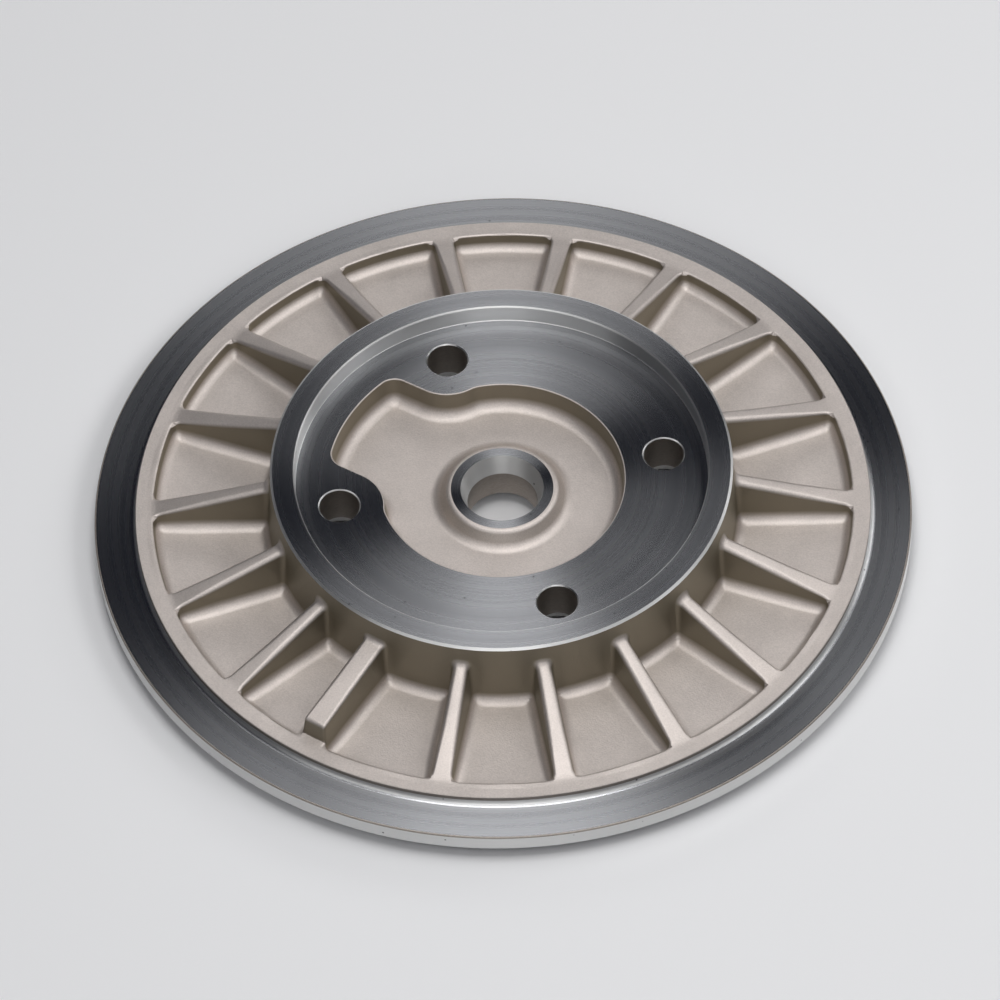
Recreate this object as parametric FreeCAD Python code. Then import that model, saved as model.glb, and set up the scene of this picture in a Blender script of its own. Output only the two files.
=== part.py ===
import FreeCAD, Part
import math
import os

# Turbo seal plate: one aluminium casting, turned on its faces.
# The frame stands at the middle of the compressor-side face, with +Z up
# through the shaft bore to the bearing-housing side. All sizes are in mm.

# Thin outer flange, gripped between the two housings
FLANGE_R = 91.0
FLANGE_THICKNESS = 4.0
FLANGE_EDGE = 0.4

# Pilot spigot and turned back face on the compressor side
SPIGOT_R = 84.0
SPIGOT_HEIGHT = 3.0
WHEEL_RECESS_R = 57.0
WHEEL_RECESS_DEPTH = 3.0

# Step up from the flange to the cast land around the web
LAND_R = 81.8
LAND_WIDTH = 3.9
LAND_RISE = 2.3
LAND_EDGE = 0.5
LAND_DRAFT = 8.0

# Hub with its turned ring and the recess for the bearing housing
HUB_R = 51.3
HUB_RISE = 15.4
HUB_EDGE = 0.5
HUB_DRAFT = 3.0
RING_WIDTH = 5.4
RECESS_DEPTH = 4.7

# Web between hub and land, sunk a little below the flange
WEB_DROP = 1.2
WEB_FOOT = 1.6

# Ribs on the web: width at the foot, draft of the sides, rounds along foot and crest
RIB_COUNT = 18
FIRST_RIB_AT = 10.0
RIB_FOOT_WIDTH = 4.9
RIB_DRAFT = 4.0
RIB_RISE = 10.3
RIB_FOOT_R = 2.4
RIB_CREST_R = 1.1

# One rib is wider, with a nearly level top that ends in a steep face
WIDE_RIB_INDEX = 13
WIDE_RIB_AT = 267.4
WIDE_RIB_FOOT_WIDTH = 6.4
WIDE_RIB_RISE = 9.5
WIDE_RIB_FALL = 2.5
WIDE_RIB_SETBACK = 1.7
WIDE_RIB_END_DRAFT = 6.0
WIDE_RIB_CREST_R = 0.8

# Bolt holes through the floor of the recess, with flat seats on the far side
BOLT_SPACING_X = 55.6
BOLT_SPACING_Y = 47.6
BOLT_HOLE_R = 4.5
BOLT_SEAT_R = 7.5
BOLT_SEAT_DEPTH = 5.0

# Oil pocket in the floor: a round well with a drain lobe between two holes
WELL_R = 27.2
POCKET_DEPTH = 6.4
LOBE_REACH = 38.8
LOBE_HALF_WIDTH = 13.8
LOBE_CORNER_R = 4.0
LOBE_BLEND_R = 6.0
POCKET_FOOT = 1.7

# Boss in the well, with its spot face, lead-in cone and bore for the shaft
BOSS_FACE_R = 12.0
BOSS_DRAFT = 35.0
BOSS_FOOT = 1.2
SPOT_FACE_DROP = 2.95
LEAD_IN_R = 9.25
LEAD_IN_DEPTH = 4.6
BORE_R = 7.8

# How far one body is run into or past the next, and a length too small to count
OVERLAP = 2.0
RIB_INTO_LAND = 0.5
TOUCH = 0.01

RECESS_R = HUB_R - RING_WIDTH
LAND_INNER_R = LAND_R - LAND_WIDTH
FLANGE_TOP = SPIGOT_HEIGHT + FLANGE_THICKNESS
LAND_TOP = FLANGE_TOP + LAND_RISE
HUB_TOP = FLANGE_TOP + HUB_RISE
RECESS_FLOOR = HUB_TOP - RECESS_DEPTH
WEB_TOP = FLANGE_TOP - WEB_DROP
RIB_TOP = FLANGE_TOP + RIB_RISE
RIB_BOTTOM = (WEB_TOP + WHEEL_RECESS_DEPTH) / 2
SPOT_FACE = RECESS_FLOOR - SPOT_FACE_DROP
POCKET_FLOOR = RECESS_FLOOR - POCKET_DEPTH
UP = FreeCAD.Vector(0, 0, 1)
CENTRE = FreeCAD.Vector(0, 0, 0)


def slope(degrees):
    """Sideways run for each millimetre of height at a draft angle."""
    return math.tan(math.radians(degrees))


def hub_wall_r(height):
    """Radius of the drafted outer wall of the hub at a height."""
    return HUB_R + slope(HUB_DRAFT) * (HUB_TOP - height)


def land_wall_r(height):
    """Radius of the drafted wall where the web meets the land."""
    return LAND_INNER_R - slope(LAND_DRAFT) * (LAND_TOP - height)


def flat_face(places):
    """Flat face inside straight lines through a list of places."""
    points = [FreeCAD.Vector(*place) for place in places]
    return Part.Face(Part.makePolygon(points + points[:1]))


def turned(section):
    """Solid turned about the bore from (radius, height) points."""
    return flat_face([(r, 0, z) for r, z in section]).revolve(CENTRE, UP, 360)


def plate_body():
    """Turned body of flange, spigot, land, web and hub, without its ribs."""
    return turned([
        (BORE_R, WHEEL_RECESS_DEPTH),
        (WHEEL_RECESS_R, WHEEL_RECESS_DEPTH),
        (WHEEL_RECESS_R, 0),
        (SPIGOT_R, 0),
        (SPIGOT_R, SPIGOT_HEIGHT),
        (FLANGE_R, SPIGOT_HEIGHT),
        (FLANGE_R, FLANGE_TOP - FLANGE_EDGE),
        (FLANGE_R - FLANGE_EDGE, FLANGE_TOP),
        (LAND_R, FLANGE_TOP),
        (LAND_R, LAND_TOP),
        (LAND_INNER_R, LAND_TOP),
        (land_wall_r(LAND_TOP - LAND_EDGE) - LAND_EDGE / 2, LAND_TOP - LAND_EDGE),
        (land_wall_r(WEB_TOP + WEB_FOOT), WEB_TOP + WEB_FOOT),
        (land_wall_r(WEB_TOP) - WEB_FOOT, WEB_TOP),
        (hub_wall_r(WEB_TOP) + WEB_FOOT, WEB_TOP),
        (hub_wall_r(WEB_TOP + WEB_FOOT), WEB_TOP + WEB_FOOT),
        (hub_wall_r(HUB_TOP - HUB_EDGE), HUB_TOP - HUB_EDGE),
        (HUB_R - HUB_EDGE, HUB_TOP),
        (RECESS_R, HUB_TOP),
        (RECESS_R, RECESS_FLOOR),
        (BORE_R, RECESS_FLOOR),
    ])


def round_edge(start, centre, end):
    """Arc from start to end about a centre, the short way round."""
    middle = ((start + end) * 0.5 - centre).normalize() * (start - centre).Length
    return Part.Arc(start, centre + middle, end).toShape()


def rib_section(radius, foot_width, bottom, top):
    """Upright face across a rib: drafted sides that flare into the web in a round."""
    half = foot_width / 2
    lean = math.radians(RIB_DRAFT)
    # The round touches the web at flare_x and the side at side_x
    flare_x = half + RIB_FOOT_R * math.tan(math.pi / 4 - lean / 2)
    side_x = flare_x - RIB_FOOT_R * math.cos(lean)
    side_z = WEB_TOP + RIB_FOOT_R * (1 - math.sin(lean))
    top_x = half - slope(RIB_DRAFT) * (top - WEB_TOP)

    def at(x, z):
        return FreeCAD.Vector(radius, x, z)

    runs = [
        (at(-side_x, side_z), at(-top_x, top)),
        (at(-top_x, top), at(top_x, top)),
        (at(top_x, top), at(side_x, side_z)),
        (at(flare_x, WEB_TOP), at(flare_x, bottom)),
        (at(flare_x, bottom), at(-flare_x, bottom)),
        (at(-flare_x, bottom), at(-flare_x, WEB_TOP)),
    ]
    edges = [Part.LineSegment(start, end).toShape() for start, end in runs]
    for side in (-1, 1):
        centre = at(side * flare_x, WEB_TOP + RIB_FOOT_R)
        edges.append(round_edge(at(side * side_x, side_z), centre, at(side * flare_x, WEB_TOP)))
    return Part.Face(Part.Wire(Part.__sortEdges__(edges)))


def height_on(start, end, radius):
    """Height at a radius on the straight line through two (radius, height) places."""
    return start[1] + (end[1] - start[1]) * (radius - start[0]) / (end[0] - start[0])


def rib(at, foot_width, crest_r, side_view, crest_low):
    """Rib run along the radius, cut to its outline from the side, with a rounded crest."""
    inner, bottom = side_view[0]
    outer = side_view[1][0]
    top = max(z for r, z in side_view)
    section = rib_section(inner, foot_width, bottom, top + OVERLAP)
    bar = section.extrude(FreeCAD.Vector(outer - inner, 0, 0))
    outline = flat_face([(r, -foot_width * 2, z) for r, z in side_view])
    body = bar.common(outline.extrude(FreeCAD.Vector(0, foot_width * 4, 0)))
    crest = [edge for edge in body.Edges if edge.BoundBox.ZMin > crest_low - TOUCH
             and edge.BoundBox.XMax > inner + TOUCH and edge.BoundBox.XMin < outer - TOUCH]
    body = body.makeFillet(crest_r, crest)
    body.rotate(CENTRE, UP, at)
    return body


def plain_rib(at):
    """One of the like ribs, whose crest falls in a straight line from the hub to the land."""
    crest_in = (hub_wall_r(RIB_TOP), RIB_TOP)
    crest_out = (LAND_INNER_R, LAND_TOP)
    inner = HUB_R - RING_WIDTH / 2
    outer = LAND_INNER_R + RIB_INTO_LAND
    low = height_on(crest_in, crest_out, outer)
    return rib(at, RIB_FOOT_WIDTH, RIB_CREST_R, [
        (inner, RIB_BOTTOM),
        (outer, RIB_BOTTOM),
        (outer, low),
        (inner, height_on(crest_in, crest_out, inner)),
    ], low)


def wide_rib(at):
    """The wide rib, which drops to the land in a steep face at its outer end."""
    top_in = FLANGE_TOP + WIDE_RIB_RISE
    low = top_in - WIDE_RIB_FALL
    crest_in = (hub_wall_r(top_in), top_in)
    crest_out = (LAND_INNER_R - WIDE_RIB_SETBACK, low)
    inner = HUB_R - RING_WIDTH / 2
    outer = LAND_INNER_R + RIB_INTO_LAND
    return rib(at, WIDE_RIB_FOOT_WIDTH, WIDE_RIB_CREST_R, [
        (inner, RIB_BOTTOM),
        (outer, RIB_BOTTOM),
        (outer, LAND_TOP),
        (crest_out[0] + slope(WIDE_RIB_END_DRAFT) * (low - LAND_TOP), LAND_TOP),
        crest_out,
        (inner, height_on(crest_in, crest_out, inner)),
    ], low)


def ribs():
    """All the ribs, evenly spaced apart from the wide one."""
    bodies = [wide_rib(WIDE_RIB_AT)]
    for index in range(RIB_COUNT):
        if index != WIDE_RIB_INDEX:
            bodies.append(plain_rib(FIRST_RIB_AT + index * 360.0 / RIB_COUNT))
    return bodies


def pocket_outline():
    """Outline of the oil pocket, as one side of the lobe and its mirror."""
    hole = FreeCAD.Vector(-BOLT_SPACING_X / 2, BOLT_SPACING_Y / 2, 0)
    boss_r = hole.y - LOBE_HALF_WIDTH
    # Centre of the arc that blends the well into the boss round the bolt hole
    well_side = WELL_R - LOBE_BLEND_R
    boss_side = boss_r + LOBE_BLEND_R
    turn = math.acos((well_side ** 2 + hole.Length ** 2 - boss_side ** 2)
                     / (2 * well_side * hole.Length))
    blend_at = math.atan2(hole.y, hole.x) - turn
    blend = FreeCAD.Vector(math.cos(blend_at), math.sin(blend_at), 0)
    blend_centre = blend * well_side
    well_point = blend * WELL_R
    boss_point = hole + (blend_centre - hole).normalize() * boss_r
    lobe_point = FreeCAD.Vector(hole.x, LOBE_HALF_WIDTH, 0)
    # Corner of the lobe: a round between its straight side and its end arc
    corner_y = LOBE_HALF_WIDTH - LOBE_CORNER_R
    corner_from = LOBE_REACH - LOBE_CORNER_R
    corner_centre = FreeCAD.Vector(-math.sqrt(corner_from ** 2 - corner_y ** 2), corner_y, 0)
    side_point = FreeCAD.Vector(corner_centre.x, LOBE_HALF_WIDTH, 0)
    end_point = corner_centre * (LOBE_REACH / corner_from)
    half = [
        round_edge(well_point, blend_centre, boss_point),
        round_edge(boss_point, hole, lobe_point),
        Part.LineSegment(lobe_point, side_point).toShape(),
        round_edge(side_point, corner_centre, end_point),
    ]
    other = [edge.mirror(CENTRE, FreeCAD.Vector(0, 1, 0)) for edge in half]
    across = FreeCAD.Vector(end_point.x, -end_point.y, 0)
    below = FreeCAD.Vector(well_point.x, -well_point.y, 0)
    tip = Part.Arc(end_point, FreeCAD.Vector(-LOBE_REACH, 0, 0), across).toShape()
    well = Part.Arc(below, FreeCAD.Vector(WELL_R, 0, 0), well_point).toShape()
    return Part.Wire(Part.__sortEdges__(half + other + [tip, well]))


def pocket():
    """Oil pocket with a sloped foot, round the boss that stands in it."""
    face = Part.Face(pocket_outline())
    face.translate(UP * POCKET_FLOOR)
    space = face.extrude(UP * (POCKET_DEPTH + OVERLAP))
    foot = [edge for edge in space.Edges if edge.BoundBox.ZMax < POCKET_FLOOR + TOUCH]
    space = space.makeChamfer(POCKET_FOOT, foot)
    boss_rise = SPOT_FACE - POCKET_FLOOR
    boss_r = BOSS_FACE_R + slope(BOSS_DRAFT) * (boss_rise - BOSS_FOOT)
    boss = turned([
        (0, POCKET_FLOOR - OVERLAP),
        (boss_r + BOSS_FOOT, POCKET_FLOOR - OVERLAP),
        (boss_r + BOSS_FOOT, POCKET_FLOOR),
        (boss_r, POCKET_FLOOR + BOSS_FOOT),
        (BOSS_FACE_R, SPOT_FACE),
        (0, SPOT_FACE),
    ])
    return space.cut(boss)


def lead_in():
    """Cone that guides the shaft into the bore."""
    return turned([
        (0, SPOT_FACE - LEAD_IN_DEPTH),
        (BORE_R, SPOT_FACE - LEAD_IN_DEPTH),
        (LEAD_IN_R, SPOT_FACE),
        (LEAD_IN_R, SPOT_FACE + OVERLAP),
        (0, SPOT_FACE + OVERLAP),
    ])


def bolt_holes():
    """The four bolt holes on their rectangle, each with a flat seat for its bolt head."""
    seat = WHEEL_RECESS_DEPTH + BOLT_SEAT_DEPTH
    hole = turned([
        (0, 0),
        (BOLT_SEAT_R, 0),
        (BOLT_SEAT_R, seat),
        (BOLT_HOLE_R, seat),
        (BOLT_HOLE_R, HUB_TOP),
        (0, HUB_TOP),
    ])
    places = [(x, y) for x in (-1, 1) for y in (-1, 1)]
    return [hole.translated(FreeCAD.Vector(x * BOLT_SPACING_X / 2, y * BOLT_SPACING_Y / 2, 0))
            for x, y in places]


def seal_plate():
    """The whole casting."""
    body = plate_body().fuse(ribs())
    body = body.cut([pocket(), lead_in()] + bolt_holes())
    return body.removeSplitter()


def main():
    os.makedirs("parts", exist_ok=True)
    plate = seal_plate()
    plate.exportStep("parts/seal_plate.step")
    print("solids", len(plate.Solids), "valid", plate.isValid())
    print("volume", round(plate.Volume), "box", plate.BoundBox)


main()
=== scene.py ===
"""Turbo seal plate: one aluminium casting with turned faces, on a pale table in soft studio light.

The casting is one closed surface. It is put together from patches, each worked out as whole
arrays, in the order in which a section runs from the bore over the top and round the rim to the
back: boss, pocket, recess, web with its ribs, rim and bolt holes, with flat faces between them.
"""

import math

import bmesh
import bpy
import numpy as np
from bpy.props import FloatProperty, FloatVectorProperty, IntProperty, PointerProperty
from bpy.types import Operator, Panel, PropertyGroup
from mathutils import Matrix, Vector, geometry


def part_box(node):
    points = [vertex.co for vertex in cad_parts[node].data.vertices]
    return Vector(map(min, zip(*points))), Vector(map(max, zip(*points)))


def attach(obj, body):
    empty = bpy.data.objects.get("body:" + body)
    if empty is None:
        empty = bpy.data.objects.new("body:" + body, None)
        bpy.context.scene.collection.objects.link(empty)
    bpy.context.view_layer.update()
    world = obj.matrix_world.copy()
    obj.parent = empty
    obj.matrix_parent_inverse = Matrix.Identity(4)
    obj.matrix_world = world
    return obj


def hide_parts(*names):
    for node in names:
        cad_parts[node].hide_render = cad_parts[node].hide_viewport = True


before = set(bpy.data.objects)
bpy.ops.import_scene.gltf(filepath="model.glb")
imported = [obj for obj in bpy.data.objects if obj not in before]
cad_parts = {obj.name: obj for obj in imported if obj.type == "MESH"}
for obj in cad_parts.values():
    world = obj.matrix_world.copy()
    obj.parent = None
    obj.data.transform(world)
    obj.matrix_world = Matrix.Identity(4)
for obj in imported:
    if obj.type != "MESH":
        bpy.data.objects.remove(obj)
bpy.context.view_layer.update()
CAD_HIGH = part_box("seal_plate")[1]

bl_info = {
    "name": "Turbo seal plate",
    "version": (1, 0, 0),
    "blender": (4, 5, 0),
    "location": "View3D > Sidebar > Seal Plate",
    "description": "Builds a turbo seal plate as one cast and turned aluminium piece",
    "category": "Object",
}

MM = 0.001

# Small sizes of the casting, which are seldom changed
HUB_EDGE = 0.5 * MM
RECESS_EDGE = 0.3 * MM
RECESS_FOOT_ROUND = 0.35 * MM
RIM_EDGE = 0.35 * MM
BACK_EDGE = 0.3 * MM
STEP_EDGE = 0.15 * MM
STEP_FOOT_ROUND = 1.2 * MM
LAND_EDGE_ROUND = 0.6 * MM
HUB_DRAFT = math.radians(3)
LAND_DRAFT = math.radians(8)
WEB_ROUND = 2.5 * MM
LAND_FOOT_ROUND = 2.0 * MM
RIB_HUB_ROUND = 1.4 * MM
RIB_LAND_ROUND = 1.8 * MM
RIB_END_ROUND = 0.3 * MM
WIDE_CREST_ROUND = 0.9 * MM
WIDE_END_ROUND = 0.8 * MM
END_SLOPE = math.tan(math.radians(6))
POCKET_DRAFT = math.radians(5)
POCKET_EDGE_ROUND = 0.3 * MM
POCKET_FOOT_ROUND = 3.0 * MM
BOSS_LEAN = math.radians(35)
BOSS_EDGE_ROUND = 1.6 * MM
BOSS_FOOT_ROUND = 3.0 * MM
HOLE_EDGE = 0.25 * MM

# How far from the land the rounds of a rib start to get smaller
CREST_TAPER = 12 * MM
FOOT_TAPER = 8 * MM

# Numbers of columns round the patches
RING_COLUMNS = 288
BORE_COLUMNS = 128
HOLE_COLUMNS = 72

# Points nearer than these are one point, and edges that turn more than the angle are sharp
SAME_POINT = 0.01 * MM
WELD_DISTANCE = 0.002 * MM
SHARP_ANGLE = math.radians(28)

# Material slots of the casting's mesh
CAST, TURNED, DULL = 0, 1, 2

# Sizes of the patterns in the metal, and how deep their marks are
PATCH_SIZE = 9 * MM
GRIT_DEPTH = 0.05 * MM
BAND_WIDTH = 2.5 * MM
BAND_DEPTH = 0.01 * MM
NICK_SPACING = 5 * MM
TORN_GRAIN_SIZE = 0.8 * MM
TORN_GRAIN_DEPTH = 0.05 * MM

# Table, sky and lamps, in metres
TABLE_REACH = 3.0
SKY_COLOUR = "#9AA4C8"
SKY_STRENGTH = 0.04
LAMP_DISTANCE = 1.0

# Name, azimuth and elevation in degrees, width and depth in metres, power in watts
LAMPS = [
    ("Overhead softbox", 0, 88, 0.4, 0.4, 3.1),
    ("Front softbox", 0, 50, 0.5, 0.36, 0.7),
    ("Low front softbox", 0, 28, 0.5, 0.3, 0.7),
    ("Front right softbox", 45, 50, 0.5, 0.36, 0.8),
    ("Right softbox", 90, 50, 0.5, 0.36, 1.7),
    ("Back right softbox", 135, 50, 0.4, 0.36, 0.4),
    ("Front left softbox", 315, 50, 0.5, 0.36, 0.9),
    ("Low right softbox", 120, 28, 0.4, 0.3, 1.1),
    ("Low back softbox", 180, 28, 0.6, 0.3, 0.9),
    ("High back softbox", 200, 71, 0.5, 0.36, 0.7),
]


def linear(hex_colour):
    """Linear colour of an sRGB hex value."""
    srgb = np.array([int(hex_colour[i:i + 2], 16) for i in (1, 3, 5)]) / 255
    flat = np.where(srgb <= 0.04045, srgb / 12.92, ((srgb + 0.055) / 1.055) ** 2.4)
    return tuple(float(value) for value in flat)


def length(name, description, default):
    """A size that a user can change, in metres."""
    return FloatProperty(name=name, description=description, default=default, min=0.0, unit="LENGTH")


def colour(name, description, hex_colour):
    """A colour that a user can change."""
    return FloatVectorProperty(name=name, description=description, default=linear(hex_colour),
                               subtype="COLOR", min=0.0, max=1.0)


class PlateSizes(PropertyGroup):
    """Sizes of the casting."""

    flange_radius: length("Flange radius", "Outer radius of the thin flange", CAD_HIGH.x)
    flange_thickness: length("Flange thickness", "Thickness of the flange at its rim", 4.0 * MM)
    spigot_radius: length("Spigot radius", "Radius of the pilot spigot on the back", 84.0 * MM)
    spigot_height: length("Spigot height", "Height of the spigot under the flange", 3.0 * MM)
    wheel_recess_radius: length("Wheel recess radius", "Radius of the recess in the back", 57.0 * MM)
    wheel_recess_depth: length("Wheel recess depth", "Depth of the recess in the back", 3.0 * MM)
    land_radius: length("Land radius", "Outer radius of the step round the web", 81.8 * MM)
    land_width: length("Land width", "Width of the cast land on the step", 3.9 * MM)
    land_rise: length("Land rise", "Height of the land over the flange", 2.3 * MM)
    hub_radius: length("Hub radius", "Outer radius of the hub at its top", 51.3 * MM)
    ring_width: length("Ring width", "Width of the turned ring on the hub", 5.4 * MM)
    recess_depth: length("Recess depth", "Depth of the bearing-housing recess", 4.7 * MM)
    web_drop: length("Web drop", "Depth of the web under the flange face", 1.2 * MM)
    rib_count: IntProperty(name="Rib count", description="Number of ribs", default=18, min=3)
    rib_angle: FloatProperty(name="First rib", description="Angle of the first rib",
                             default=math.radians(10), subtype="ANGLE", unit="ROTATION")
    rib_foot_width: length("Rib foot width", "Width of a rib at the web, without its rounds", 4.9 * MM)
    rib_draft: FloatProperty(name="Rib draft", description="Lean of the sides of a rib",
                             default=math.radians(4), subtype="ANGLE", unit="ROTATION")
    rib_rise: length("Rib rise", "Height of a rib at the hub over the flange face", 10.3 * MM)
    rib_crest_round: length("Rib crest round", "Radius along the crest of a rib", 1.2 * MM)
    wide_rib: IntProperty(name="Wide rib", description="Which rib is wide, from 0", default=13, min=0)
    wide_rib_angle: FloatProperty(name="Wide rib angle", description="Angle of the wide rib",
                                  default=math.radians(267.4), subtype="ANGLE", unit="ROTATION")
    wide_rib_foot_width: length("Wide rib foot width", "Width of the wide rib at the web", 6.4 * MM)
    wide_rib_rise: length("Wide rib rise", "Height of the wide rib at the hub", 9.5 * MM)
    wide_rib_fall: length("Wide rib fall", "How far its top falls to its outer end", 2.5 * MM)
    wide_rib_setback: length("Wide rib setback", "From its outer end to the land's edge", 1.7 * MM)
    bolt_spacing_x: length("Bolt spacing X", "Distance between bolt holes along X", 55.6 * MM)
    bolt_spacing_y: length("Bolt spacing Y", "Distance between bolt holes along Y", 47.6 * MM)
    bolt_hole_radius: length("Bolt hole radius", "Radius of a bolt hole", 4.5 * MM)
    bolt_seat_radius: length("Bolt seat radius", "Radius of a bolt-head seat on the back", 7.5 * MM)
    bolt_seat_depth: length("Bolt seat depth", "Depth of a bolt-head seat", 5.0 * MM)
    well_radius: length("Well radius", "Radius of the round part of the oil pocket", 27.2 * MM)
    pocket_depth: length("Pocket depth", "Depth of the oil pocket under the recess floor", 6.4 * MM)
    lobe_reach: length("Lobe reach", "From the shaft to the end of the drain lobe", 38.8 * MM)
    lobe_half_width: length("Lobe half width", "From the middle of the lobe to its side", 13.8 * MM)
    lobe_corner: length("Lobe corner", "Corner radius of the lobe", 4.0 * MM)
    lobe_blend: length("Lobe blend", "Radius that joins the well to the lobe", 6.0 * MM)
    boss_drop: length("Boss drop", "From the recess floor to the spot face", 2.95 * MM)
    boss_face_radius: length("Boss face radius", "Radius of the turned spot face", 11.4 * MM)
    lead_in_radius: length("Lead-in radius", "Radius of the cone at the spot face", 9.25 * MM)
    lead_in_depth: length("Lead-in depth", "Depth of the cone", 4.6 * MM)
    bore_radius: length("Bore radius", "Radius of the shaft bore", 7.8 * MM)


class PlateFinish(PropertyGroup):
    """Finishes of the casting."""

    cast_colour: colour("Cast colour", "Colour of the blasted casting", "#DDD4CE")
    # Painted shade: the darker colour that steep cast faces get in place of the shade on walls
    steep_shade_colour: colour("Steep colour", "Colour where the casting stands steep", "#958E7F")
    cast_roughness: FloatProperty(name="Cast roughness", description="Roughness of the casting",
                                  default=0.55, min=0.0, max=1.0, subtype="FACTOR")
    grit_size: length("Grit size", "Size of the marks left by blasting", 0.35 * MM)
    turned_colour: colour("Turned colour", "Colour of the turned faces", "#A3A4A7")
    turned_roughness: FloatProperty(name="Turned roughness", description="Roughness of turned faces",
                                    default=0.27, min=0.0, max=1.0, subtype="FACTOR")
    # Painted light: a paler colour on turned walls, standing in for the reflections they catch
    lit_wall_colour: colour("Wall colour", "Colour of turned walls", "#E2E2E1")
    wall_roughness: FloatProperty(name="Wall roughness", description="Roughness of turned walls",
                                  default=0.42, min=0.0, max=1.0, subtype="FACTOR")
    turning_feed: length("Turning feed", "Distance between the rings left by the tool", 0.5 * MM)
    dull_colour: colour("Dull colour", "Colour of holes and of filed edges", "#B6ADA5")


class StageLook(PropertyGroup):
    """Table and camera."""

    table_colour: colour("Table colour", "Colour of the table", "#F0F0F1")
    camera_azimuth: FloatProperty(name="Camera azimuth", description="Turn of the camera",
                                  default=math.radians(31.67), subtype="ANGLE", unit="ROTATION")
    camera_elevation: FloatProperty(name="Camera elevation", description="Height angle of the camera",
                                    default=math.radians(51.45), subtype="ANGLE", unit="ROTATION")
    camera_roll: FloatProperty(name="Camera roll", description="Roll of the camera",
                               default=math.radians(2.138), subtype="ANGLE", unit="ROTATION")
    camera_distance: length("Camera distance", "Distance of the camera from the plate", 2.22642)
    camera_shift_x: length("Camera side shift", "Plate's middle to the right of the view", 0.000647)
    camera_shift_y: length("Camera drop shift", "Plate's middle under the middle of the view", 0.002165)


class Plate:
    """The sizes, with the heights and radii that follow from them."""

    def __init__(self, sizes):
        self.size = sizes
        self.flange_top = sizes.spigot_height + sizes.flange_thickness
        self.land_top = self.flange_top + sizes.land_rise
        self.land_inner = sizes.land_radius - sizes.land_width
        self.hub_top = CAD_HIGH.z
        self.recess_radius = sizes.hub_radius - sizes.ring_width
        self.recess_floor = self.hub_top - sizes.recess_depth
        self.web_top = self.flange_top - sizes.web_drop
        self.pocket_floor = self.recess_floor - sizes.pocket_depth
        self.spot_face = self.recess_floor - sizes.boss_drop

    def hub_wall(self, height):
        """Radius of the drafted outer wall of the hub at a height."""
        return self.size.hub_radius + math.tan(HUB_DRAFT) * (self.hub_top - height)

    def land_wall(self, height):
        """Radius of the drafted wall under the land's inner edge at a height."""
        return self.land_inner - math.tan(LAND_DRAFT) * (self.land_top - height)


def inside(points, outline):
    """Which points lie in a closed outline: seen from them it turns through a whole circle."""
    way = outline[None] - points[:, None]
    angle = np.arctan2(way[..., 1], way[..., 0])
    turn = (np.roll(angle, -1, axis=1) - angle + np.pi) % (2 * np.pi) - np.pi
    return np.abs(turn.sum(axis=1)) > np.pi


class Shell:
    """Patches of one closed surface, kept as arrays until the mesh is made."""

    def __init__(self):
        self.points = []
        self.faces = []
        self.skins = []
        self.used = 0

    def add(self, points, faces, skin):
        """Keeps points and the faces between them."""
        self.points.append(points)
        self.faces.extend((faces + self.used).tolist())
        self.skins.append(np.full(len(faces), skin, np.int32))
        self.used += len(points)

    def sheet(self, rows, skin):
        """Quads between neighbouring rows and columns, with the last column joined to the first.

        Rows run the way the section runs and columns run anticlockwise, so that row direction
        times column direction points out of the metal. skin is one value, or one for each strip.
        """
        count, columns = rows.shape[:2]
        index = np.arange(count * columns).reshape(count, columns)
        ahead = np.roll(index, -1, axis=1)
        quads = np.stack([index[:-1], index[1:], ahead[1:], ahead[:-1]], axis=-1)
        skins = np.broadcast_to(skin, count - 1)
        for value in sorted(set(skins.tolist())):
            self.add(rows.reshape(-1, 3), quads[skins == value].reshape(-1, 4), value)

    def flat(self, outline, holes, skin, facing=1):
        """Flat face inside one closed outline and outside the others, cut into triangles."""
        loops = [outline] + holes
        sizes = [len(loop) for loop in loops]
        starts = np.cumsum([0] + sizes[:-1])
        edges = np.concatenate([
            start + np.stack([np.arange(size), np.roll(np.arange(size), -1)], axis=-1)
            for start, size in zip(starts, sizes)])
        points = np.concatenate(loops)
        # In millimetres, and rounded as a Vector rounds them
        spots = (points[:, :2] / MM).astype(np.float32).astype(float)
        made = geometry.delaunay_2d_cdt([Vector(spot) for spot in spots.tolist()],
                                        edges.tolist(), [], 1, 1e-6)
        if len(made[0]) != len(points):
            raise RuntimeError("Two points of a flat face's outlines lie on each other")
        faces = np.array(made[2])
        for start, size in zip(starts[1:], sizes[1:]):
            hole = spots[start:start + size]
            faces = faces[~inside(spots[faces].mean(axis=1), hole)]
        corners = spots[faces]
        first, second = corners[:, 1] - corners[:, 0], corners[:, 2] - corners[:, 0]
        way = first[:, 0] * second[:, 1] - first[:, 1] * second[:, 0]
        self.add(points, np.where((way * facing > 0)[:, None], faces, faces[:, ::-1]), skin)

    def mesh(self, name):
        """Mesh of all the patches, with the points that they share made one."""
        mesh = bpy.data.meshes.new(name)
        mesh.from_pydata(np.concatenate(self.points), [], self.faces)
        mesh.polygons.foreach_set("material_index", np.concatenate(self.skins))
        bm = bmesh.new()
        bm.from_mesh(mesh)
        bmesh.ops.remove_doubles(bm, verts=bm.verts, dist=WELD_DISTANCE)
        bm.to_mesh(mesh)
        open_edges = sum(1 for edge in bm.edges if len(edge.link_faces) != 2)
        bm.free()
        if open_edges:
            raise RuntimeError(f"{name} has {open_edges} open edges")
        mesh.shade_smooth()
        mesh.set_sharp_from_angle(angle=SHARP_ANGLE)
        return mesh


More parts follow.
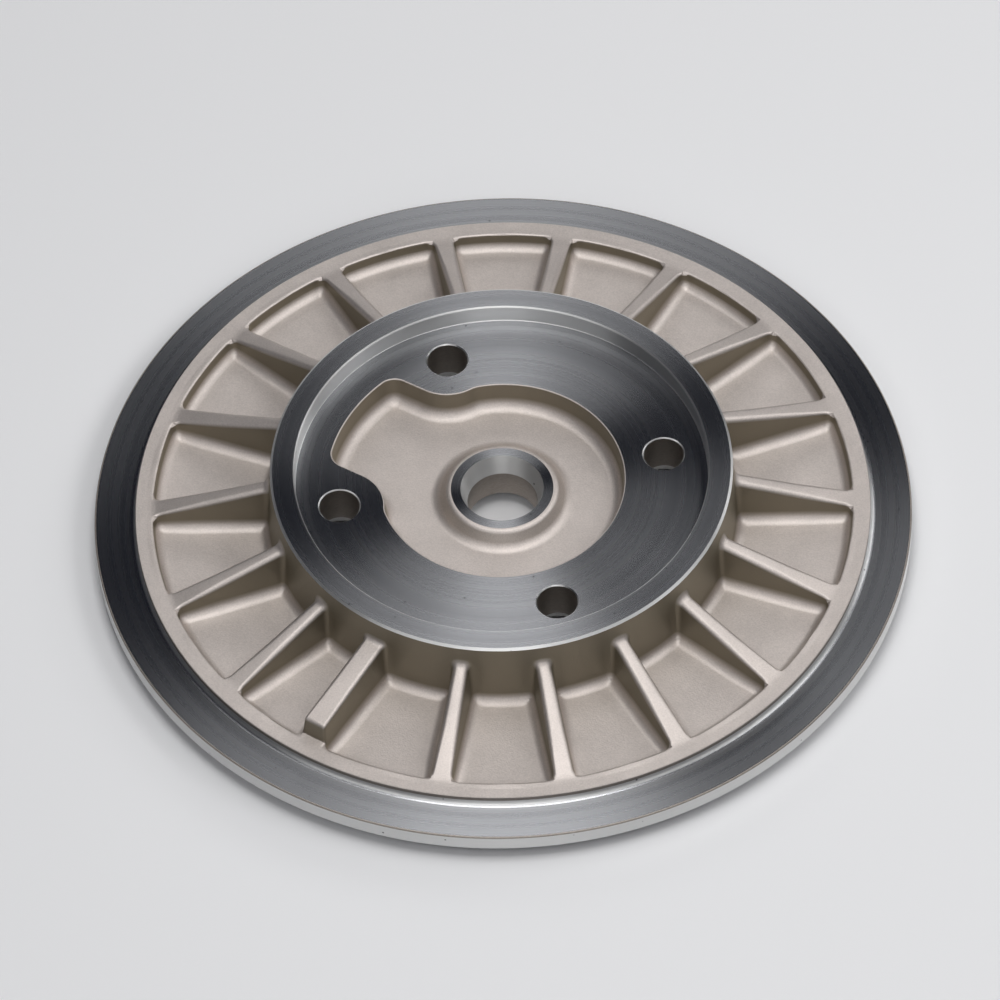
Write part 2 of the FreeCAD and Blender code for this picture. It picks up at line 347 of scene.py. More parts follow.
def turned_rows(profile, columns, centre=(0.0, 0.0)):
    """Rows of a surface turned about an upright axis from (radius, height) points.

    A point of the profile at radius r and height z goes to x = r cos a, y = r sin a for evenly
    spaced angles a.
    """
    profile = np.array(profile)
    angle = np.linspace(0, 2 * np.pi, columns, endpoint=False)
    radius = profile[:, :1]
    height = np.broadcast_to(profile[:, 1:], (len(profile), columns))
    return np.stack([centre[0] + radius * np.cos(angle), centre[1] + radius * np.sin(angle), height],
                    axis=-1)


def arc(centre, radius, start, end, count):
    """Points on an arc: centre plus radius times (cos a, sin a), for a from start to end degrees."""
    angle = np.radians(np.linspace(start, end, count))
    return np.array(centre) + radius * np.column_stack([np.cos(angle), np.sin(angle)])


def boss_rows(plate):
    """Bore, lead-in cone, spot face and outer side of the boss, from the back to the pocket floor."""
    size = plate.size
    back = size.wheel_recess_depth
    lean = math.degrees(BOSS_LEAN)
    edge = arc((size.boss_face_radius, plate.spot_face - BOSS_EDGE_ROUND), BOSS_EDGE_ROUND, 80, lean, 6)
    foot = arc((0, plate.pocket_floor + BOSS_FOOT_ROUND), BOSS_FOOT_ROUND, 180 + lean, 270, 8)
    foot[:, 0] += edge[-1, 0] - foot[0, 0] + (edge[-1, 1] - foot[0, 1]) * math.tan(BOSS_LEAN)
    profile = np.concatenate([
        [(size.bore_radius + BACK_EDGE, back), (size.bore_radius, back + BACK_EDGE)],
        [(size.bore_radius, plate.spot_face - size.lead_in_depth)],
        [(size.lead_in_radius, plate.spot_face), (size.boss_face_radius, plate.spot_face)],
        edge, foot,
    ])
    skins = [TURNED, DULL, TURNED, TURNED] + [CAST] * (len(profile) - 5)
    return turned_rows(profile, BORE_COLUMNS), skins


def pocket_line(size):
    """Outline of the oil pocket and its outward directions, as (point, direction) arrays.

    Each stretch is an arc: the points are centre + radius * (cos a, sin a), and the direction is
    (cos a, sin a), turned round where the arc bends away from the pocket. The half with y over 0
    is worked out, and the other is its mirror.
    """
    hole = np.array([-size.bolt_spacing_x / 2, size.bolt_spacing_y / 2])
    from_axis = np.hypot(*hole)
    boss = hole[1] - size.lobe_half_width
    # The blend touches the well from inside and the arc round the bolt hole from outside
    well_side = size.well_radius - size.lobe_blend
    hole_side = boss + size.lobe_blend
    turn = math.acos((well_side ** 2 + from_axis ** 2 - hole_side ** 2) / (2 * well_side * from_axis))
    blend_at = math.atan2(hole[1], hole[0]) - turn
    blend_centre = well_side * np.array([math.cos(blend_at), math.sin(blend_at)])
    to_hole = math.atan2(*(hole - blend_centre)[::-1])
    # The corner touches the straight side of the lobe and the arc at its end
    corner_y = size.lobe_half_width - size.lobe_corner
    corner_from = size.lobe_reach - size.lobe_corner
    corner_centre = np.array([-math.sqrt(corner_from ** 2 - corner_y ** 2), corner_y])
    tip = math.atan2(corner_centre[1], corner_centre[0])
    # Centre, radius, start and end angle, which way it bends, number of points
    stretches = [
        ((0, 0), size.well_radius, 0, blend_at, 1, 56),
        (blend_centre, size.lobe_blend, blend_at, to_hole, 1, 12),
        (hole, boss, to_hole + np.pi, 1.5 * np.pi, -1, 22),
        (corner_centre, size.lobe_corner, np.pi / 2, tip, 1, 14),
        ((0, 0), size.lobe_reach, tip, np.pi, 1, 18),
    ]
    points, ways = [], []
    for centre, radius, start, end, bend, count in stretches:
        angle = np.linspace(start, end, count)
        way = np.column_stack([np.cos(angle), np.sin(angle)])
        points.append(np.array(centre) + radius * way)
        ways.append(way * bend)
    points, ways = np.concatenate(points), np.concatenate(ways)
    # Two stretches that meet share a point, and it is kept once
    step = np.hypot(*np.diff(points, axis=0).T)
    keep = np.concatenate([[True], step > SAME_POINT])
    points, ways = points[keep], ways[keep]
    mirror = np.array([1, -1])
    inner = slice(-2, 0, -1)
    return np.concatenate([points, points[inner] * mirror]), np.concatenate([ways, ways[inner] * mirror])


def pocket_rows(plate):
    """Side of the oil pocket: a rounded foot, a drafted wall and a finely rounded edge.

    Each point of the outline is carried along its outward direction: a profile of (offset, height)
    gives x, y = outline + offset * direction.
    """
    points, ways = pocket_line(plate.size)
    depth = plate.size.pocket_depth
    lean = math.degrees(POCKET_DRAFT)
    foot_r, edge_r = POCKET_FOOT_ROUND, POCKET_EDGE_ROUND
    wall_foot = -math.tan(POCKET_DRAFT) * depth
    foot_in = wall_foot - foot_r * math.tan(math.pi / 4 - POCKET_DRAFT / 2)
    foot = arc((foot_in, plate.pocket_floor + foot_r), foot_r, -90, -lean, 10)
    edge_out = edge_r * math.tan(math.pi / 4 - POCKET_DRAFT / 2)
    edge = arc((edge_out, plate.recess_floor - edge_r), edge_r, 180 - lean, 90, 4)
    wall = foot[-1:] + (edge[:1] - foot[-1:]) * np.array([[1 / 3], [2 / 3]])
    profile = np.concatenate([foot, wall, edge])
    flat = points + profile[:, None, :1] * ways
    height = np.broadcast_to(profile[:, None, 1:], flat.shape[:2] + (1,))
    return np.concatenate([flat, height], axis=-1)


def recess_rows(plate):
    """Turned wall of the recess, from its floor to the ring on the hub."""
    radius = plate.recess_radius
    foot = RECESS_FOOT_ROUND
    profile = np.concatenate([
        arc((radius - foot, plate.recess_floor + foot), foot, -90, 0, 4),
        [(radius, plate.hub_top - RECESS_EDGE), (radius + RECESS_EDGE, plate.hub_top)],
    ])
    return turned_rows(profile, RING_COLUMNS)


def rim_rows(plate):
    """Step, flange, rim, spigot and wheel recess, from the land to the back face."""
    size = plate.size
    step = size.land_radius
    top = plate.flange_top
    rim = size.flange_radius
    under = size.spigot_height
    spigot = size.spigot_radius
    wheel = size.wheel_recess_radius
    profile = np.concatenate([
        [(step - STEP_EDGE, plate.land_top), (step, plate.land_top - STEP_EDGE)],
        arc((step + STEP_FOOT_ROUND, top + STEP_FOOT_ROUND), STEP_FOOT_ROUND, 180, 270, 8),
        arc((rim - RIM_EDGE, top - RIM_EDGE), RIM_EDGE, 90, 0, 4),
        arc((rim - RIM_EDGE, under + RIM_EDGE), RIM_EDGE, 0, -90, 4),
        [(spigot, under), (spigot, BACK_EDGE), (spigot - BACK_EDGE, 0)],
        [(wheel + BACK_EDGE, 0), (wheel, BACK_EDGE), (wheel, size.wheel_recess_depth)],
    ])
    skins = [CAST, DULL] + [TURNED] * 8 + [DULL] * 3 + [TURNED] * (len(profile) - 14)
    return turned_rows(profile, RING_COLUMNS), skins


def hole_rows(plate, x, y):
    """One bolt hole, from its seat on the back to its broken edge in the recess floor."""
    size = plate.size
    radius = size.bolt_hole_radius
    seat = size.wheel_recess_depth + size.bolt_seat_depth
    profile = [
        (size.bolt_seat_radius, size.wheel_recess_depth),
        (size.bolt_seat_radius, seat),
        (radius, seat),
        (radius, plate.recess_floor - HOLE_EDGE),
        (radius + HOLE_EDGE, plate.recess_floor),
    ]
    return turned_rows(profile, HOLE_COLUMNS, (x, y))


def joined(first, second, radius):
    """Distance to two bodies together, with a round of a radius where they meet in a corner.

    It is the smaller distance, but where both are under the radius it is the radius less the
    length of (radius - first, radius - second).
    """
    near = np.maximum(radius, np.minimum(first, second))
    return near - np.hypot(np.maximum(radius - first, 0), np.maximum(radius - second, 0))


def shared(first, second, radius):
    """Distance to what two bodies share, with a round of a radius along its edge.

    It is the larger distance, but where both are over minus the radius it is the length of
    (radius + first, radius + second) less the radius.
    """
    far = np.minimum(-radius, np.maximum(first, second))
    return far + np.hypot(np.maximum(radius + first, 0), np.maximum(radius + second, 0))


class Web:
    """The cast web between hub and land with its ribs, as one smooth surface.

    Each rib takes the columns on both sides up to the middle of its cells, and is worked out in its
    own frame: x along the rib, y across it, z up. The points start on the sharp body, as the higher
    of the turned section and the rib's section. Then they move along the slope of the distance to
    the real body, which has rounds in all its corners, until they lie on that body.
    """

    # Distances from a sharp corner, in radii of its round, that give even steps round it
    STEPS = 1 - np.tan(np.radians([0, 15, 30, 45]))

    # How often a point is moved towards the body, how far at most, how far apart the slope is
    # felt, and the least squared slope that a move is divided by
    MOVES = 14
    LONGEST_MOVE = 0.6 * MM
    PROBE = 0.0005 * MM
    LEAST_SLOPE = 0.2

    # How far before the wide rib's end its own rows start, and how many columns lead back from them
    END_LEAD = 0.9 * MM
    LEAD_COLUMNS = 7

    def __init__(self, plate):
        size = plate.size
        number = np.arange(size.rib_count)
        wide = number == size.wide_rib
        self.plate = plate
        self.angle = size.rib_angle + number * 2 * np.pi / size.rib_count
        self.angle[wide] = size.wide_rib_angle
        self.wide = wide[:, None, None]
        self.half = np.where(self.wide, size.wide_rib_foot_width, size.rib_foot_width) / 2
        self.lean = size.rib_draft
        self.inner_top = plate.flange_top + np.where(self.wide, size.wide_rib_rise, size.rib_rise)
        self.inner = plate.hub_wall(self.inner_top)
        self.end = np.where(self.wide, plate.land_inner - size.wide_rib_setback, plate.land_inner)
        self.end_top = np.where(self.wide, self.inner_top - size.wide_rib_fall, plate.land_top)
        self.fall = (self.inner_top - self.end_top) / (self.end - self.inner)

    def crest(self, along):
        """Height of each rib's crest at a distance along it: a straight line down to its end."""
        return self.inner_top - self.fall * (along - self.inner)

    def crest_round(self, radius):
        """Radius of the rounded crest edges, which gets smaller towards the land."""
        reach = np.clip((self.plate.land_inner - radius) / CREST_TAPER, 0, 1)
        full = np.where(self.wide, WIDE_CREST_ROUND, self.plate.size.rib_crest_round)
        return LAND_EDGE_ROUND + (full - LAND_EDGE_ROUND) * reach

    def foot_round(self, radius):
        """Radius of the round at the web, which gets smaller towards the land."""
        reach = np.clip((self.plate.land_inner - radius) / FOOT_TAPER, 0, 1)
        return LAND_FOOT_ROUND + (WEB_ROUND - LAND_FOOT_ROUND) * reach

    def distance(self, place):
        """Distance of (along, across, height) points from the metal, below zero inside it."""
        plate = self.plate
        along, across, height = place
        radius = np.hypot(along, across)
        side = np.abs(across) - self.half + math.tan(self.lean) * (height - plate.web_top)
        wall = (plate.land_wall(height) - radius) * math.cos(LAND_DRAFT)
        sides = joined(side * math.cos(self.lean), wall, RIB_LAND_ROUND)
        crest = (height - self.crest(along)) / np.hypot(1, self.fall)
        past_end = along - self.end + END_SLOPE * (height - self.end_top)
        crest = np.where(self.wide, shared(crest, past_end, WIDE_END_ROUND), crest)
        top = joined(crest, height - plate.land_top, RIB_END_ROUND)
        ribs = shared(sides, top, self.crest_round(radius))
        hub = (radius - plate.hub_wall(height)) * math.cos(HUB_DRAFT)
        upright = joined(hub, ribs, RIB_HUB_ROUND)
        return joined(upright, height - plate.web_top, self.foot_round(radius))

    def settled(self, place):
        """The points moved onto the body: each step is distance * slope / length of slope squared."""
        for _ in range(self.MOVES):
            far = np.clip(self.distance(place), -self.LONGEST_MOVE, self.LONGEST_MOVE)
            slope = []
            for axis in range(3):
                shift = np.zeros((3, 1, 1, 1))
                shift[axis] = self.PROBE
                change = self.distance(place + shift) - self.distance(place - shift)
                slope.append(change / (2 * self.PROBE))
            slope = np.array(slope)
            place = place - far / np.maximum((slope ** 2).sum(axis=0), self.LEAST_SLOPE) * slope
        return place

    def stations(self):
        """Radius and height of the turned section from the hub's top to the flat of the land."""
        plate = self.plate
        web = plate.web_top
        rib_top = float(self.inner_top.max())
        near_rib = rib_top + RIB_HUB_ROUND * np.concatenate([self.STEPS, -self.STEPS[-2::-1]])
        wall = np.concatenate([
            np.linspace(plate.hub_top - HUB_EDGE, near_rib[0], 4)[:-1], near_rib[:-1],
            np.linspace(near_rib[-1], web + WEB_ROUND, 6)])
        turn = np.radians(np.arange(10, 91, 10))
        hub_foot = plate.hub_wall(web) + WEB_ROUND
        hub_arc = np.column_stack([hub_foot - WEB_ROUND * np.cos(turn),
                                   web + WEB_ROUND * (1 - np.sin(turn))])
        land_foot = plate.land_wall(web) - LAND_FOOT_ROUND
        middle = np.linspace(hub_foot, land_foot, 17)[1:]
        turn = np.radians([12, 24, 36, 48, 60, 71, 80])
        land_arc = np.column_stack([land_foot + LAND_FOOT_ROUND * np.sin(turn),
                                    web + LAND_FOOT_ROUND * (1 - np.cos(turn))])
        turn = np.radians([8, 30, 50, 70, 90])
        edge_middle = plate.land_inner + LAND_EDGE_ROUND * math.tan(math.pi / 4 - LAND_DRAFT / 2)
        edge = np.column_stack([edge_middle - LAND_EDGE_ROUND * np.cos(turn),
                                plate.land_top - LAND_EDGE_ROUND * (1 - np.sin(turn))])
        flat = plate.land_inner + np.array([1.3, 1.7]) * MM
        return np.concatenate([
            np.column_stack([plate.hub_wall(wall), wall]), hub_arc,
            np.column_stack([middle, np.full(len(middle), web)]), land_arc, edge,
            np.column_stack([flat, np.full(2, plate.land_top)])])

    def end_stations(self, radius):
        """Radius of the wide rib's rows, with rows down its end face, and how far down each one is."""
        plate = self.plate
        end = plate.land_inner - plate.size.wide_rib_setback
        top = plate.flange_top + plate.size.wide_rib_rise - plate.size.wide_rib_fall
        foot = end + END_SLOPE * (top - plate.land_top)
        first = int(np.searchsorted(radius, end - self.END_LEAD))
        shares = np.array([0.07, 0.17, 0.4, 0.65, 0.9])
        marks = np.concatenate([end - WIDE_END_ROUND * self.STEPS, end + (foot - end) * shares,
                                foot + np.array([0.1, 0.4]) * MM])
        own = radius.copy()
        rows = slice(first, first + len(marks))
        own[rows] = marks
        own = np.maximum.accumulate(np.maximum(own, radius * (own <= marks[0])))
        return own, np.clip((own - end) / (foot - end), 0, 1)

    def side_columns(self, radius, past_end):
        """Distance across and height of the columns from a rib's middle to the floor beside it.

        On the side of a rib, a column that lies a drop under the crest is at the edge of the crest
        plus tan(draft) * drop.
        """
        plate = self.plate
        steps = self.STEPS
        crest_z = np.maximum(self.crest(radius), plate.land_top)
        crest_z = crest_z - self.wide * past_end[:, None] * (crest_z - plate.land_top)
        rise = crest_z - plate.web_top
        crest_r, foot_r = self.crest_round(radius), self.foot_round(radius)
        drop = np.concatenate([
            crest_r * steps[-2::-1],
            crest_r + (rise - crest_r - foot_r) * np.array([0.25, 0.5, 0.75]),
            rise - foot_r * steps], axis=-1)
        edge = self.half - math.tan(self.lean) * rise
        across = np.concatenate([
            0 * edge, edge - crest_r * steps, edge + math.tan(self.lean) * drop,
            self.half + foot_r * steps[-2::-1]], axis=-1)
        top = np.broadcast_to(crest_z, crest_z.shape[:2] + (1 + len(steps),))
        floor = np.full(crest_z.shape[:2] + (len(steps) - 1,), plate.web_top)
        return across, np.concatenate([top, crest_z - drop, floor], axis=-1)

    def rows(self):
        """The whole sheet: rows out from the hub, columns round the plate."""
        plate = self.plate
        section = self.stations()
        plain_radius, turned_z = section[:, :1], section[:, 1:]
        end_radius, past_end = self.end_stations(section[:, 0])
        radius = np.where(self.wide, end_radius[:, None], plain_radius)
        across, height = self.side_columns(radius, past_end)
        # The wide rib's own rows lead back to the plain ones beside its foot
        columns = across.shape[-1]
        pull = np.clip((columns - 1 - np.arange(columns)) / self.LEAD_COLUMNS, 0, 1)
        radius = plain_radius + (radius - plain_radius) * pull
        local = np.arcsin(across / radius)
        share = np.array([0.3, 0.65, 1])
        gap_after = (np.roll(self.angle, -1) - self.angle) % (2 * np.pi) / 2
        gap_before = np.roll(gap_after, 1)
        halves = []
        for gap, way in ((gap_before, -1), (gap_after, 1)):
            cell = local[..., -1:] + (gap[:, None, None] - local[..., -1:]) * share
            angle = np.concatenate([local, cell], axis=-1) * way
            far = np.concatenate([radius, np.broadcast_to(plain_radius, cell.shape)], axis=-1)
            tall = np.concatenate([height, np.full(cell.shape, plate.web_top)], axis=-1)
            tall = np.maximum(tall, turned_z)
            halves.append(np.array([far * np.cos(angle), far * np.sin(angle), tall]))
        before, after = halves[0][..., -2:0:-1], halves[1]
        along, across, height = self.settled(np.concatenate([before, after], axis=-1))
        radius = np.hypot(along, across)
        angle = np.arctan2(across, along) + self.angle[:, None, None]
        around = np.stack([radius * np.cos(angle), radius * np.sin(angle), height], axis=-1)
        sheet = around.transpose(1, 0, 2, 3).reshape(len(section), -1, 3)
        rim = sheet[:1].copy()
        rim[..., :2] *= (plate.size.hub_radius - HUB_EDGE) / np.hypot(*sheet[0, 0, :2])
        rim[..., 2] = plate.hub_top
        return np.concatenate([rim, sheet])


def build_plate(sizes):
    """Mesh of the whole casting."""
    plate = Plate(sizes)
    shell = Shell()
    boss, boss_skins = boss_rows(plate)
    pocket = pocket_rows(plate)
    recess = recess_rows(plate)
    web = Web(plate).rows()
    rim, rim_skins = rim_rows(plate)
    x, y = sizes.bolt_spacing_x / 2, sizes.bolt_spacing_y / 2
    holes = [hole_rows(plate, *place) for place in ((x, y), (-x, y), (-x, -y), (x, -y))]
    shell.sheet(boss, boss_skins)
    shell.flat(pocket[0], [boss[-1]], CAST)
    shell.sheet(pocket, CAST)
    shell.flat(recess[0], [pocket[-1]] + [hole[-1] for hole in holes], TURNED)
    shell.sheet(recess, TURNED)
    shell.flat(web[0], [recess[-1]], TURNED)
    shell.sheet(web[:2], TURNED)
    shell.sheet(web[1:], CAST)
    shell.flat(rim[0], [web[-1]], CAST)
    shell.sheet(rim, rim_skins)
    shell.flat(rim[-1], [boss[0]] + [hole[0] for hole in holes], TURNED, -1)
    for hole in holes:
        shell.sheet(hole, [TURNED, TURNED, DULL, TURNED])
    return shell.mesh("SealPlateCasting")


def add_node(tree, kind, settings=None, links=None):
    """Adds a node, sets its properties or input values, and links its inputs, by name or number."""
    node = tree.nodes.new(kind)
    for name, value in (settings or {}).items():
        if isinstance(name, int) or name in node.inputs:
            node.inputs[name].default_value = value
        else:
            setattr(node, name, value)
    for name, socket in (links or {}).items():
        tree.links.new(socket, node.inputs[name])
    return node


def new_material(name, hex_colour):
    """An empty node material and its tree."""
    material = bpy.data.materials.new(name)
    material.use_nodes = True
    material.node_tree.nodes.clear()
    material.diffuse_color = (*hex_colour, 1.0)
    return material, material.node_tree


def flatness(tree, low, high):
    """How flat the surface lies: 0 where its normal's height is low or less, 1 from high on."""
    normal = add_node(tree, "ShaderNodeTexCoord").outputs["Normal"]
    upward = add_node(tree, "ShaderNodeSeparateXYZ", None, {"Vector": normal}).outputs["Z"]
    size = add_node(tree, "ShaderNodeMath", {"operation": "ABSOLUTE"}, {0: upward})
    return add_node(tree, "ShaderNodeMapRange", {"From Min": low, "From Max": high},
                    {"Value": size.outputs["Value"]}).outputs["Result"]


def mixed(tree, share, first, second):
    """Colour between two, each a linear colour or a socket, by a share of the second."""
    mix = add_node(tree, "ShaderNodeMix", {"data_type": "RGBA"}, {0: share})
    for slot, value in ((6, first), (7, second)):
        if isinstance(value, bpy.types.NodeSocket):
            tree.links.new(value, mix.inputs[slot])
        else:
            mix.inputs[slot].default_value = (*value, 1.0)
    return mix.outputs[2]


def darker(hue, share):
    """A linear colour times a share."""
    return tuple(value * share for value in hue)


def cast_material(finish):
    """Sand-cast aluminium, blasted: a dull warm grey with the fine grain that the grit leaves.

    Steep faces are given a darker, browner colour than flat ones: painted shade, for walls that
    catch little light. The grain is drawn coarser than the marks of real grit, which would be too
    fine to show.
    """
    material, tree = new_material("Blasted cast aluminium", finish.cast_colour)
    place = add_node(tree, "ShaderNodeTexCoord").outputs["Object"]
    grain = add_node(tree, "ShaderNodeTexNoise",
                     {"Scale": 1 / finish.grit_size, "Detail": 3.0, "Roughness": 0.6}, {"Vector": place})
    patches = add_node(tree, "ShaderNodeTexNoise",
                       {"Scale": 1 / PATCH_SIZE, "Detail": 5.0, "Roughness": 0.6}, {"Vector": place})
    speckle = add_node(tree, "ShaderNodeMath", {"operation": "MULTIPLY_ADD", 1: 1.5},
                       {0: grain.outputs["Fac"], 2: patches.outputs["Fac"]})
    blend = add_node(tree, "ShaderNodeMapRange", {"From Min": 0.85, "From Max": 1.65},
                     {"Value": speckle.outputs["Value"]}).outputs["Result"]
    tone = mixed(tree, blend, darker(finish.cast_colour, 0.8), finish.cast_colour)
    # Painted shade: steep faces are mixed towards a darker, browner colour
    skin = mixed(tree, flatness(tree, 0.2, 0.65), finish.steep_shade_colour, tone)
    bump = add_node(tree, "ShaderNodeBump", {"Strength": 1.0, "Distance": GRIT_DEPTH},
                    {"Height": grain.outputs["Fac"]})
    shader = add_node(tree, "ShaderNodeBsdfPrincipled",
                      {"Metallic": 1.0, "Roughness": finish.cast_roughness},
                      {"Base Color": skin, "Normal": bump.outputs["Normal"]})
    add_node(tree, "ShaderNodeOutputMaterial", None, {"Surface": shader.outputs["BSDF"]})
    return material


def turned_material(finish):
    """Turned aluminium: brighter and smoother, brushed round the axis by the tool.

    The tool's rings follow radius + height, so that they run round both flat faces and walls.
    Walls are cut with a coarser feed, and so they gather light from a wider fan of directions.
    Walls are also given a paler colour than flat faces: painted light, for the bright reflections they
    catch.
    The rings are drawn coarser than a real feed of 0.1 mm, which would be too fine to show.
    """
    material, tree = new_material("Turned aluminium", finish.turned_colour)
    place = add_node(tree, "ShaderNodeTexCoord").outputs["Object"]
    parts = add_node(tree, "ShaderNodeSeparateXYZ", None, {"Vector": place}).outputs
    flat = add_node(tree, "ShaderNodeCombineXYZ", None, {"X": parts["X"], "Y": parts["Y"]})
    radius = add_node(tree, "ShaderNodeVectorMath", {"operation": "LENGTH"},
                      {0: flat.outputs["Vector"]})
    way = add_node(tree, "ShaderNodeMath", {"operation": "ADD"},
                   {0: radius.outputs["Value"], 1: parts["Z"]})
    rings = add_node(tree, "ShaderNodeTexNoise",
                     {"noise_dimensions": "1D", "Scale": 1 / finish.turning_feed, "Detail": 1.0},
                     {"W": way.outputs["Value"]})
    bands = add_node(tree, "ShaderNodeTexNoise",
                     {"noise_dimensions": "1D", "Scale": 1 / BAND_WIDTH, "Detail": 3.0},
                     {"W": way.outputs["Value"]})
    lying = flatness(tree, 0.75, 0.95)
    # The bands spread the roughness evenly round its own value
    spread = 0.08
    rough = add_node(tree, "ShaderNodeMapRange",
                     {"To Min": finish.wall_roughness - spread / 2,
                      "To Max": finish.turned_roughness - spread / 2}, {"Value": lying})
    banded = add_node(tree, "ShaderNodeMath", {"operation": "MULTIPLY_ADD", 1: spread},
                      {0: bands.outputs["Fac"], 2: rough.outputs["Result"]})
    # Nicks: small dark spots where a cell's middle lies within 0.15 mm, which fade out by 0.3 mm
    nicks = add_node(tree, "ShaderNodeTexVoronoi", {"Scale": 1 / NICK_SPACING}, {"Vector": place})
    clean = add_node(tree, "ShaderNodeMapRange", {"From Min": 0.03, "From Max": 0.06},
                     {"Value": nicks.outputs["Distance"]}).outputs["Result"]
    streak = add_node(tree, "ShaderNodeMapRange", {"From Min": 0.35, "From Max": 0.65},
                      {"Value": rings.outputs["Fac"]}).outputs["Result"]
    face = mixed(tree, streak, darker(finish.turned_colour, 0.93), finish.turned_colour)
    # Painted light: steep turned faces are mixed towards the paler wall colour
    metal = mixed(tree, lying, finish.lit_wall_colour, face)
    nicked = mixed(tree, clean, darker(finish.turned_colour, 0.3), metal)
    bump = add_node(tree, "ShaderNodeBump", {"Strength": 0.1, "Distance": BAND_DEPTH},
                    {"Height": bands.outputs["Fac"]})
    round_axis = add_node(tree, "ShaderNodeTangent", {"direction_type": "RADIAL", "axis": "Z"})
    shader = add_node(tree, "ShaderNodeBsdfPrincipled", {
        "Metallic": 1.0, "Anisotropic": 0.9, "Anisotropic Rotation": 0.25,
    }, {"Base Color": nicked, "Roughness": banded.outputs["Value"],
        "Normal": bump.outputs["Normal"], "Tangent": round_axis.outputs["Tangent"]})
    add_node(tree, "ShaderNodeOutputMaterial", None, {"Surface": shader.outputs["BSDF"]})
    return material


def dull_material(finish):
    """Drilled or filed aluminium: dull and brownish, with a torn grain.

    It is in the bolt holes and the bore, on the side of the step and on the rim's broken edge.
    """
    material, tree = new_material("Drilled and filed aluminium", finish.dull_colour)
    place = add_node(tree, "ShaderNodeTexCoord").outputs["Object"]
    scores = add_node(tree, "ShaderNodeMapping", {"Scale": (1.0, 1.0, 4.0)}, {"Vector": place})
    grain = add_node(tree, "ShaderNodeTexNoise", {"Scale": 1 / TORN_GRAIN_SIZE, "Detail": 3.0},
                     {"Vector": scores.outputs["Vector"]})
    tone = mixed(tree, grain.outputs["Fac"], darker(finish.dull_colour, 0.55), finish.dull_colour)
    bump = add_node(tree, "ShaderNodeBump", {"Strength": 0.6, "Distance": TORN_GRAIN_DEPTH},
                    {"Height": grain.outputs["Fac"]})
    shader = add_node(tree, "ShaderNodeBsdfPrincipled", {"Metallic": 1.0, "Roughness": 0.5},
                      {"Base Color": tone, "Normal": bump.outputs["Normal"]})
    add_node(tree, "ShaderNodeOutputMaterial", None, {"Surface": shader.outputs["BSDF"]})
    return material


def table_material(look):
    """Matt pale table top."""
    material, tree = new_material("Matt white table", look.table_colour)
    shader = add_node(tree, "ShaderNodeBsdfPrincipled",
                      {"Base Color": (*look.table_colour, 1.0), "Roughness": 0.75})
    add_node(tree, "ShaderNodeOutputMaterial", None, {"Surface": shader.outputs["BSDF"]})
    return material


def camera_place(look, height):
    """Place of the camera, from its angles and from where the plate's middle lies in its view."""
    view = Vector((0, math.cos(look.camera_elevation), -math.sin(look.camera_elevation)))
    right = Vector((1, 0, 0))
    down = view.cross(right)
    roll = look.camera_roll
    rolled_right = math.cos(roll) * right + math.sin(roll) * down
    rolled_down = math.cos(roll) * down - math.sin(roll) * right
    middle = rolled_right * look.camera_shift_x + rolled_down * look.camera_shift_y
    middle += view * look.camera_distance
    turned = Matrix((rolled_right, -rolled_down, -view)).transposed().to_4x4()
    upright = Matrix.Translation(-middle) @ turned
    return (Matrix.Translation((0, 0, height))
            @ Matrix.Rotation(look.camera_azimuth, 4, "Z") @ upright)


def add_lamp(look, name, azimuth, elevation, width, depth, power):
    """A soft lamp that faces the plate. Azimuth 0 is the camera's side, 90 the right."""
    light = bpy.data.lights.new(name, "AREA")
    light.shape = "RECTANGLE"
    light.size, light.size_y = width, depth
    light.energy = power
    lamp = bpy.data.objects.new(name, light)
    bpy.context.scene.collection.objects.link(lamp)
    around = math.radians(azimuth - 90) + look.camera_azimuth
    lift = math.radians(elevation)
    away = Vector((math.cos(lift) * math.cos(around), math.cos(lift) * math.sin(around),
                   math.sin(lift)))
    lamp.location = away * LAMP_DISTANCE
    lamp.rotation_euler = away.to_track_quat("Z", "Y").to_euler()


class SEALPLATE_OT_casting(Operator):
    """Build the casting of the seal plate"""

    bl_idname = "sealplate.casting"
    bl_label = "Build Casting"

    def execute(self, context):
        scene = context.scene
        mesh = build_plate(scene.seal_plate_sizes)
        for make in (cast_material, turned_material, dull_material):
            mesh.materials.append(make(scene.seal_plate_finish))
        casting = bpy.data.objects.new("SealPlateCasting", mesh)
        scene.collection.objects.link(casting)
        weighted = casting.modifiers.new("EvenShading", "WEIGHTED_NORMAL")
        weighted.keep_sharp = True
        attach(casting, "root")
        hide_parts("seal_plate")
        return {"FINISHED"}


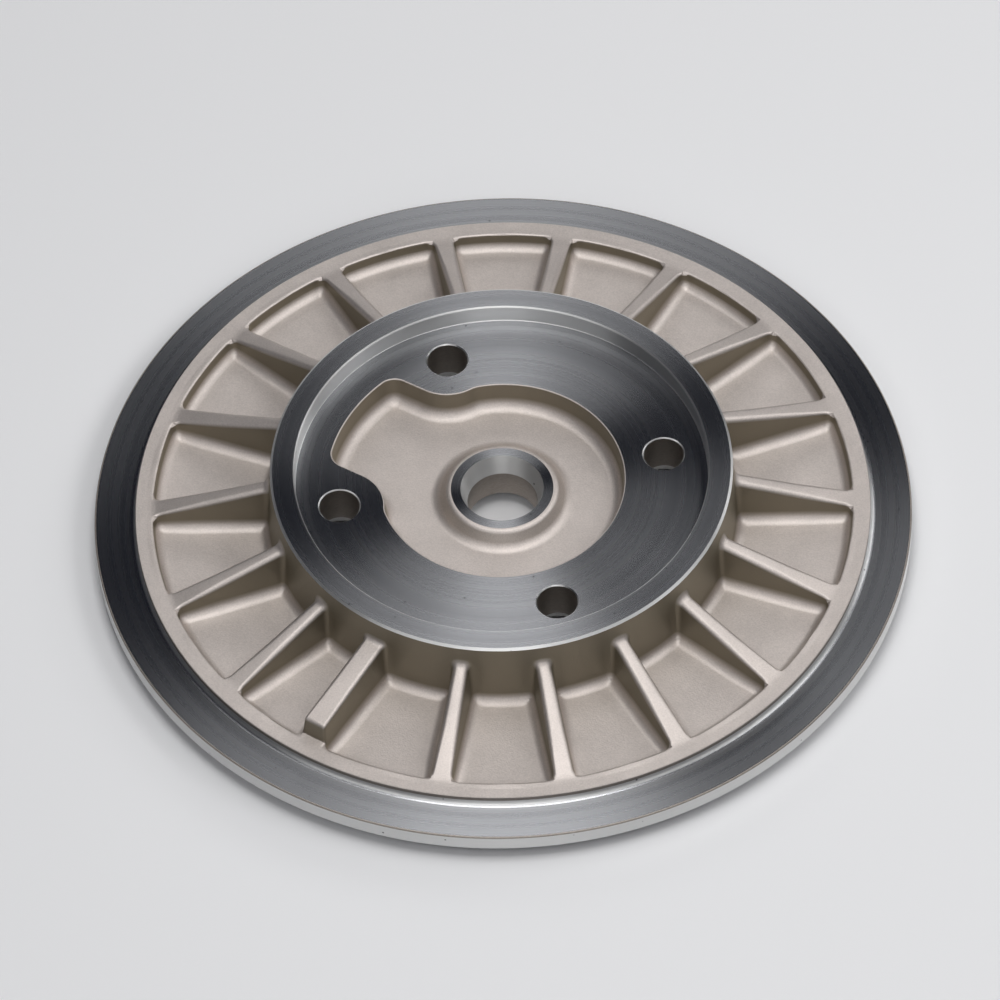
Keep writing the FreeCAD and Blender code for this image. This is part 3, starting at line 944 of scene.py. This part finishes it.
class SEALPLATE_OT_stage(Operator):
    """Build the table, the lamps and the camera round the seal plate"""

    bl_idname = "sealplate.stage"
    bl_label = "Build Stage"

    def execute(self, context):
        scene = context.scene
        look = scene.seal_plate_look
        table = bpy.data.meshes.new("Table")
        ways = ((-1, -1), (1, -1), (1, 1), (-1, 1))
        corners = [(x * TABLE_REACH, y * TABLE_REACH, 0) for x, y in ways]
        table.from_pydata(corners, [], [(0, 1, 2, 3)])
        table.materials.append(table_material(look))
        top = bpy.data.objects.new("Table", table)
        scene.collection.objects.link(top)
        for lamp in LAMPS:
            add_lamp(look, *lamp)
        world = bpy.data.worlds.new("Studio")
        world.use_nodes = True
        world.node_tree.nodes.clear()
        background = add_node(world.node_tree, "ShaderNodeBackground",
                              {"Color": (*linear(SKY_COLOUR), 1.0), "Strength": SKY_STRENGTH})
        add_node(world.node_tree, "ShaderNodeOutputWorld", None,
                 {"Surface": background.outputs["Background"]})
        scene.world = world
        scene.view_settings.view_transform = "Standard"
        lens = bpy.data.cameras.new("Camera")
        lens.sensor_width = 36.0
        lens.lens = 360.0
        lens.clip_end = 100.0
        camera = bpy.data.objects.new("Camera", lens)
        camera.matrix_world = camera_place(look, Plate(scene.seal_plate_sizes).flange_top)
        scene.collection.objects.link(camera)
        scene.camera = camera
        return {"FINISHED"}


class SEALPLATE_PT_panel(Panel):
    """Sizes, finishes and the buttons that build the seal plate"""

    bl_idname = "SEALPLATE_PT_panel"
    bl_label = "Turbo Seal Plate"
    bl_space_type = "VIEW_3D"
    bl_region_type = "UI"
    bl_category = "Seal Plate"

    def draw(self, context):
        layout = self.layout
        scene = context.scene
        for settings in (scene.seal_plate_sizes, scene.seal_plate_finish, scene.seal_plate_look):
            column = layout.column(align=True)
            for name in settings.__annotations__:
                column.prop(settings, name)
        layout.operator(SEALPLATE_OT_casting.bl_idname)
        layout.operator(SEALPLATE_OT_stage.bl_idname)


CLASSES = (PlateSizes, PlateFinish, StageLook, SEALPLATE_OT_casting, SEALPLATE_OT_stage,
           SEALPLATE_PT_panel)


def register():
    """Registers the classes and hangs the settings on the scene."""
    for cls in CLASSES:
        bpy.utils.register_class(cls)
    bpy.types.Scene.seal_plate_sizes = PointerProperty(type=PlateSizes)
    bpy.types.Scene.seal_plate_finish = PointerProperty(type=PlateFinish)
    bpy.types.Scene.seal_plate_look = PointerProperty(type=StageLook)


def unregister():
    """Takes away what register added."""
    del bpy.types.Scene.seal_plate_look
    del bpy.types.Scene.seal_plate_finish
    del bpy.types.Scene.seal_plate_sizes
    for cls in reversed(CLASSES):
        bpy.utils.unregister_class(cls)


def main():
    """Builds the whole scene."""
    register()
    bpy.ops.sealplate.casting()
    bpy.ops.sealplate.stage()


if __name__ == "__main__":
    main()
